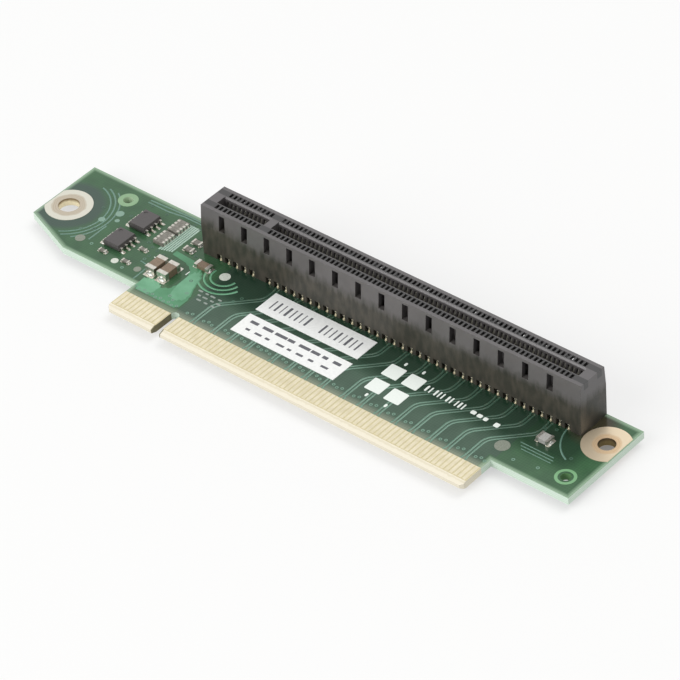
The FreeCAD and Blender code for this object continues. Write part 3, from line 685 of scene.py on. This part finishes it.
# White print: four boxes, their ticks, a row of plain dashes and lines beside the parts
ink = {"corner": 0.25, "thickness": 0.045, "tall": 1.6, "fine": 0.4}
inkPlates = {
    "boxes": [(x, y, 3.5, 3.4) for x, y in ((55.3, 8.45), (60.0, 8.4), (55.3, 3.7), (60.0, 3.4))],
    "boxTicks": [(x, y, 0.5, 0.9) for x, y in ((55.7, 11.4), (59.8, 11.5), (55.3, 0.7), (60.0, 0.4))],
    "dashes": [(73.9, 8.2, 1.1, 0.9), (75.4, 8.1, 1.1, 0.9), (76.8, 8.0, 0.9, 0.9), (79.4, 7.9, 1.1, 1.1)],
    "tallDashes": [(x, y, width, ink["tall"]) for x, y, width in (
        (63.0, 8.5, 0.42), (63.9, 8.5, 0.3), (65.1, 8.45, 0.42), (65.9, 8.45, 0.3), (66.7, 8.4, 0.3),
        (67.9, 8.4, 0.42), (68.7, 8.4, 0.3), (69.9, 8.35, 0.3), (70.7, 8.35, 0.42), (71.5, 8.3, 0.3))],
    "fineDashes": [(x, y, width, ink["fine"]) for x, y, width in (
        (11.4, 5.4, 1.1), (13.0, 5.4, 0.8), (14.4, 5.4, 1.2), (16.1, 5.4, 0.9), (12.0, 4.3, 0.8),
        (13.4, 4.3, 1.2), (15.1, 4.3, 0.9), (16.7, 4.3, 1.1), (12.8, 3.2, 1.1), (14.5, 3.2, 0.9),
        (16.2, 3.2, 1.0))],
    "partLines": [(-1.9, 7.9, 1.2, 0.2), (5.9, 7.9, 0.2, 1.2)],
}
for name, places in inkPlates.items():
    finish = "dullInk" if name == "fineDashes" else "ink"
    plates("print" + name[0].upper() + name[1:], places, finish, ink["corner"],
           ink["thickness"])

# Bare round pads for probes, flat and dull with tin: finish, slot, and x, y and diameter of each
pads = {"corner": 2.0, "thickness": 0.04, "maskedThickness": 0.035, "steps": 7, "wideSteps": 9}
roundPads = {
    "probePads": ("dullTin", "tinned_leads", [(-7.8, 2.7, 1.5)]),
    "dullPads": ("agedPad", "tinned_leads", [(-17.8, 4.0, 2.0), (-2.6, 3.3, 1.5)]),
    "maskedPads": ("maskedTin", "green_solder_mask", [(-16.6, 13.9, 1.7), (-18.3, 10.6, 1.4),
                                                      (-15.6, 12.0, 1.0)]),
    "agedPad": ("agedPad", "tinned_leads", [(83.6, 4.2, 2.9)]),
}
for name, (finish, slot, places) in roundPads.items():
    plates(name, [(x, y, size, size) for x, y, size in places], finish, pads["corner"],
           pads["maskedThickness"] if name == "maskedPads" else pads["thickness"],
           steps=pads["wideSteps"] if name == "agedPad" else pads["steps"])

# Rings of mask over bare laminate round the tooling holes: outer and inner radius, and thickness
toolingRings = {"Left": (2.0, 1.0, 0.03, "clearance"), "Right": (2.05, 1.45, 0.03, "clearanceDeep")}
for end, (outer, inner, thickness, finish) in toolingRings.items():
    rings("toolingRing" + end, [(*holes["tooling" + end][:2], outer, inner)], finish,
          thickness)
plates("fiducialMark", [(*fiducial["place"], fiducial["mark"], fiducial["mark"])], "dullTin",
       pads["corner"], pads["thickness"], steps=pads["wideSteps"])

# Vias: a ring of masked copper with its plugged hole left darker. One stands above each finger that no lane
# uses, and the others lie loose. Small and large are outer and inner radius
vias = {"seed": 7, "row": -0.9, "stagger": 0.35, "small": (0.34, 0.15), "large": (0.36, 0.16),
        "jitter": 0.1, "height": 0.035, "loose": (
            (-20.5, 13.5), (-19.6, 6.2), (-14.9, 4.0), (-13.1, 19.4), (-14.4, 14.6), (-6.2, 10.6),
            (-4.6, 9.9), (-3.2, 9.6), (-1.4, 9.4), (3.8, 12.6), (3.9, 16.6), (-0.6, 19.2), (-2.6, 19.6),
            (-9.2, 19.0), (-17.4, 7.6), (-3.4, 7.6), (-3.6, 6.4), (-5.4, 2.0), (7.6, 1.0), (8.9, 0.4),
            (9.6, 3.4), (8.0, 6.6), (86.6, 12.4), (88.8, 13.2), (95.6, 8.6), (92.4, 3.2), (87.5, 2.4),
            (19.0, 8.2), (18.4, 6.6))}
random.seed(vias["seed"])
viaPlaces = []
for number in range(1, contacts["count"] + 1):
    if not any(number in (lane, lane + 1) for lane in traces["lanes"]):
        y = vias["row"] + vias["stagger"] * (number % 2)
        viaPlaces.append((contactX(number, contacts["firstFinger"]), y, *vias["small"]))
for x, y in vias["loose"]:
    viaPlaces.append((x + random.uniform(-vias["jitter"], vias["jitter"]), y, *vias["large"]))
rings("viaRings", viaPlaces, "copper", vias["height"])

# Plating inside the two screw holes, from pad to pad
sleeve = {"wall": 0.03, "reach": 0.04}
for end in ("Left", "Right"):
    x, y, radius = holes["screw" + end]
    rings("plating" + end, [(x, y, radius, radius - sleeve["wall"])], "sleeve" + end,
          (boardTop - boardBottom) / mm + sleeve["reach"], boardBottom - mm * sleeve["reach"] / 2)

# Solder: lands and joints where the tails pass the board, seen in the base channels and underneath
joints = {"foot": 0.44, "height": 1.1, "tip": 0.16, "underFoot": 0.5, "underHeight": 0.85,
          "land": 0.5, "underLand": 0.53, "landHole": 0.3, "landHeight": 0.03}


def tailPlaces(rows):
    places = []
    for number in range(1, contacts["count"] + 1):
        row = contacts["innerRow"] if number % 2 else contacts["outerRow"]
        if row in rows:
            x = contactX(number, contacts["firstContact"])
            places += [(x, slotPlace - row), (x, slotPlace + row)]
    return places


def solderCones(name, places, foot, height, z, tip, down=False, finish="solder"):
    # Each place is x and y, and for a fillet its three sizes too
    marks = {"turn": [(math.pi if down else 0, 0, 0)] * len(places),
             "size": [place[2:5] or (1, 1, 1) for place in places]}
    grow(name, "joint", [onCard(place[0], place[1], z) for place in places], [], marks, {
        "Foot": foot * mm, "Tip": tip * mm, "Height": height * mm}, finish)


outerTails = tailPlaces([contacts["outerRow"]])
allTails = tailPlaces([contacts["innerRow"], contacts["outerRow"]])
solderCones("tailJointsTop", outerTails, joints["foot"], joints["height"], boardTop, joints["tip"],
            finish="fluxedSolder")
solderCones("tailJointsUnder", allTails, joints["underFoot"], joints["underHeight"], boardBottom,
            joints["tip"], down=True)
for name, places, land, z in (
        ("tailLandsUnder", allTails, joints["underLand"], boardBottom - joints["landHeight"] * mm),
        ("tailLandsTop", outerTails, joints["land"], boardTop)):
    rings(name, [(*place, land, joints["landHole"]) for place in places], "tin",
          joints["landHeight"], z)


def looseBoxes(node):
    # The box of each separate solid in a node
    shape = bmesh.new()
    shape.from_mesh(nodes[node].data)
    bmesh.ops.remove_doubles(shape, verts=shape.verts, dist=0.001 * mm)
    shape.verts.ensure_lookup_table()
    left = set(shape.verts)
    boxes = []
    while left:
        island = [left.pop()]
        for vert in island:
            for edge in vert.link_edges:
                other = edge.other_vert(vert)
                if other in left:
                    left.remove(other)
                    island.append(other)
        boxes.append([Vector([pick(v.co[axis] for v in island) for axis in range(3)]) for pick in (min, max)])
    shape.free()
    return sorted(boxes, key=lambda box: tuple(box[0]))


# Bodies, their soldered ends, and how far the land and the fillet run beyond and up them, in millimetres
soldered = {"corner": 0.08, "thickness": 0.045, "margin": 0.12, "slack": 0.5, "longest": 0.45,
            "cover": 1.02, "tip": 0.4}
solderedParts = [
    ("large_capacitor_bodies", "large_capacitor_caps", 0.8, 0.9),
    ("link_resistor_bodies", "link_resistor_caps", 0.3, 0.35),
    ("slot_end_capacitor_body", "slot_end_capacitor_caps", 0.35, 0.5),
    ("filter_resistor_bodies", "filter_resistor_caps", 0.28, 0.3),
    ("end_bead_body", "end_bead_caps", 0.35, 0.5),
    ("resistor_array_bodies", "resistor_array_terminals", 0.25, 0.4),
    ("chip_body_rear", "chip_leads_rear", 0.22, 0.24),
    ("chip_body_front", "chip_leads_front", 0.22, 0.24),
]
lands = []
fillets = []
for bodies, ends, beyond, up in solderedParts:
    middles = [(low + high) / 2 for low, high in looseBoxes(bodies)]
    for low, high in looseBoxes(ends):
        centre = (low + high) / 2
        offset = centre - min(middles, key=lambda middle: (middle - centre).length)
        half = (high - low) / 2 / mm
        # An end faces the way in which it lies farther from its body. Array terminals face along y
        away = [abs(offset[axis]) / (half[axis] + soldered["slack"]) for axis in (0, 1)]
        axis = 0 if away[0] > away[1] and "array" not in ends else 1
        way = math.copysign(1, offset[axis])
        land = [*placeOf(centre), 2 * half.x + soldered["margin"], 2 * half.y + soldered["margin"]]
        land[axis] += way * beyond / 2
        land[axis + 2] = 2 * half[axis] + beyond
        fillet = [*placeOf(centre), half.x * soldered["cover"], half.y * soldered["cover"], up]
        fillet[axis] += way * half[axis]
        fillet[axis + 2] = min(beyond, soldered["longest"])
        lands.append(land)
        fillets.append(fillet)
plates("partLands", lands, "tin", soldered["corner"], soldered["thickness"])
solderCones("partFillets", fillets, 1.0, 1.0, boardTop, soldered["tip"])
print("stage: print, pads and solder done")

# Plain bars and dashes printed on the two labels. Each row of dashes is its offset, its height, and the start
# and length of each dash
labels = {"corner": 0.08, "thickness": 0.012, "bars": 18, "gap": (8, 9), "firstBar": 1.9, "barStep": 1.2,
          "barLength": 2.6,
          "barWidths": (0.27, 0.42, 0.21, 0.54, 0.27, 0.36, 0.21, 0.48, 0.3, 0.24, 0.45, 0.27)}
dashRows = (
    (1.15, 0.75, ((1.6, 1.9), (4.6, 2.4), (7.6, 2.8), (10.6, 1.6), (13.3, 2.6), (16.2, 2.0), (18.9, 1.2),
                  (21.4, 1.8))),
    (-1.0, 0.55, ((2.2, 1.0), (4.4, 1.6), (6.9, 1.0), (9.6, 1.8), (12.2, 0.9), (14.3, 1.6), (17.2, 1.2),
                  (20.2, 1.7))),
)
upperLow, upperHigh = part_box("upper_label")
lowerLow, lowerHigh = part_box("lower_label")
upperLeft, upperY = placeOf(Vector((upperLow.x, (upperLow.y + upperHigh.y) / 2)))
lowerLeft, lowerY = placeOf(Vector((lowerLow.x, (lowerLow.y + lowerHigh.y) / 2)))
bars = []
for index in range(labels["bars"]):
    if index not in labels["gap"]:
        width = labels["barWidths"][index % len(labels["barWidths"])]
        bars.append((upperLeft + labels["firstBar"] + labels["barStep"] * index, upperY, width,
                     labels["barLength"]))
dashes = [(lowerLeft + start + length / 2, lowerY + offset, length, height)
          for offset, height, row in dashRows for start, length in row]
for name, places in (("upperLabelBars", bars), ("lowerLabelDashes", dashes)):
    plates(name, places, "printBlack", labels["corner"], labels["thickness"], upperHigh.z)
print("stage: labels printed")

# Floor, world and lamps. A painted shadow: the floor's glow is made weaker in a disc that is seen through the
# right screw hole
stage = {"floorHalf": 3.0, "floor": "#dfdfde", "shown": "#a1a1a0", "speck": "#9d9d9c", "glow": 0.565,
         "world": 0.62, "shade": (95.9, 17.9), "shadeReach": (2.4, 3.4), "shadeGlow": 0.16}


def seenShare(tree):
    # One for what the camera sees, also in a reflection, and nothing for the light that falls on the card
    rays = addNode(tree, "LightPath")
    seen = rays["Is Camera Ray"]
    for kind in ("Is Glossy Ray", "Is Transmission Ray"):
        seen = addNode(tree, "Math", [seen, rays[kind]], operation="MAXIMUM")
    return seen


def paleFloor():
    material, tree, place = startMaterial("paleMattFloor")
    colour = twoTone(tree, place, 25.0, 2, (0.0, 1.0), stage["shown"], stage["speck"], 0.15)[0]
    # Painted shadow: the glow falls off near the place seen through the right screw hole
    strength = addNode(tree, "MapRange", [
        distanceTo(tree, place, stage["shade"]), *metres(stage["shadeReach"]), stage["shadeGlow"],
        stage["glow"]])
    shown = addNode(tree, "AddShader", [
        addNode(tree, "BsdfDiffuse", {"Color": colour}),
        addNode(tree, "Emission", {"Color": (1, 1, 1, 1), "Strength": strength})])
    lit = addNode(tree, "BsdfDiffuse", {"Color": linear(stage["floor"])})
    return finishMaterial(material, addNode(tree, "MixShader", [seenShare(tree), lit, shown]))


floorMesh = bpy.data.meshes.new("floor")
half = stage["floorHalf"]
corners = [(-half, -half, 0), (half, -half, 0), (half, half, 0), (-half, half, 0)]
floorMesh.from_pydata(corners, [], [(0, 1, 2, 3)])
floorMesh.materials.append(paleFloor())
floor = bpy.data.objects.new("floor", floorMesh)
scene.collection.objects.link(floor)

world = bpy.data.worlds.new("paleStudio")
scene.world = world
world.use_nodes = True
sky = world.node_tree
sky.nodes.clear()
strength = addNode(sky, "MapRange", [seenShare(sky), 0.0, 1.0, stage["world"], 1.0])
addNode(sky, "OutputWorld", [addNode(sky, "Background", {"Color": (1, 1, 1, 1), "Strength": strength})])


def lamp(name, place, size, watts):
    light = bpy.data.lights.new(name, "AREA")
    light.shape = "DISK"
    light.size = size
    light.energy = watts
    holder = bpy.data.objects.new(name, light)
    holder.location = place
    holder.rotation_euler = (-Vector(place)).to_track_quat("-Z", "Y").to_euler()
    scene.collection.objects.link(holder)


lamp("keyLamp", (0.25, 0.6, 1.5), 1.2, 9.5)
lamp("fillLamp", (-0.4, -1.3, 0.85), 1.3, 14.5)

# The photograph's view: where its camera stood, drawn in until the card fills the frame
view = {"distance": 789, "azimuth": 42.78, "elevation": 39.5, "roll": -4.37, "lens": 229,
        "aim": (5.7, 3.2, 2.6)}
eye = bpy.data.cameras.new("camera")
eye.lens = view["lens"]
eye.sensor_width = 36
eye.clip_start = 0.05
eye.clip_end = 20
camera = bpy.data.objects.new("camera", eye)
scene.collection.objects.link(camera)
turn = (Matrix.Rotation(math.radians(view["azimuth"]), 4, "Z")
        @ Matrix.Rotation(math.radians(90 - view["elevation"]), 4, "X")
        @ Matrix.Rotation(math.radians(view["roll"]), 4, "Z"))
aim = mm * Vector(view["aim"])
camera.matrix_world = (Matrix.Translation(aim + turn.to_3x3() @ Vector((0, 0, mm * view["distance"]))) @ turn)
scene.camera = camera
scene.view_settings.view_transform = "Standard"

print("stage: scene complete")
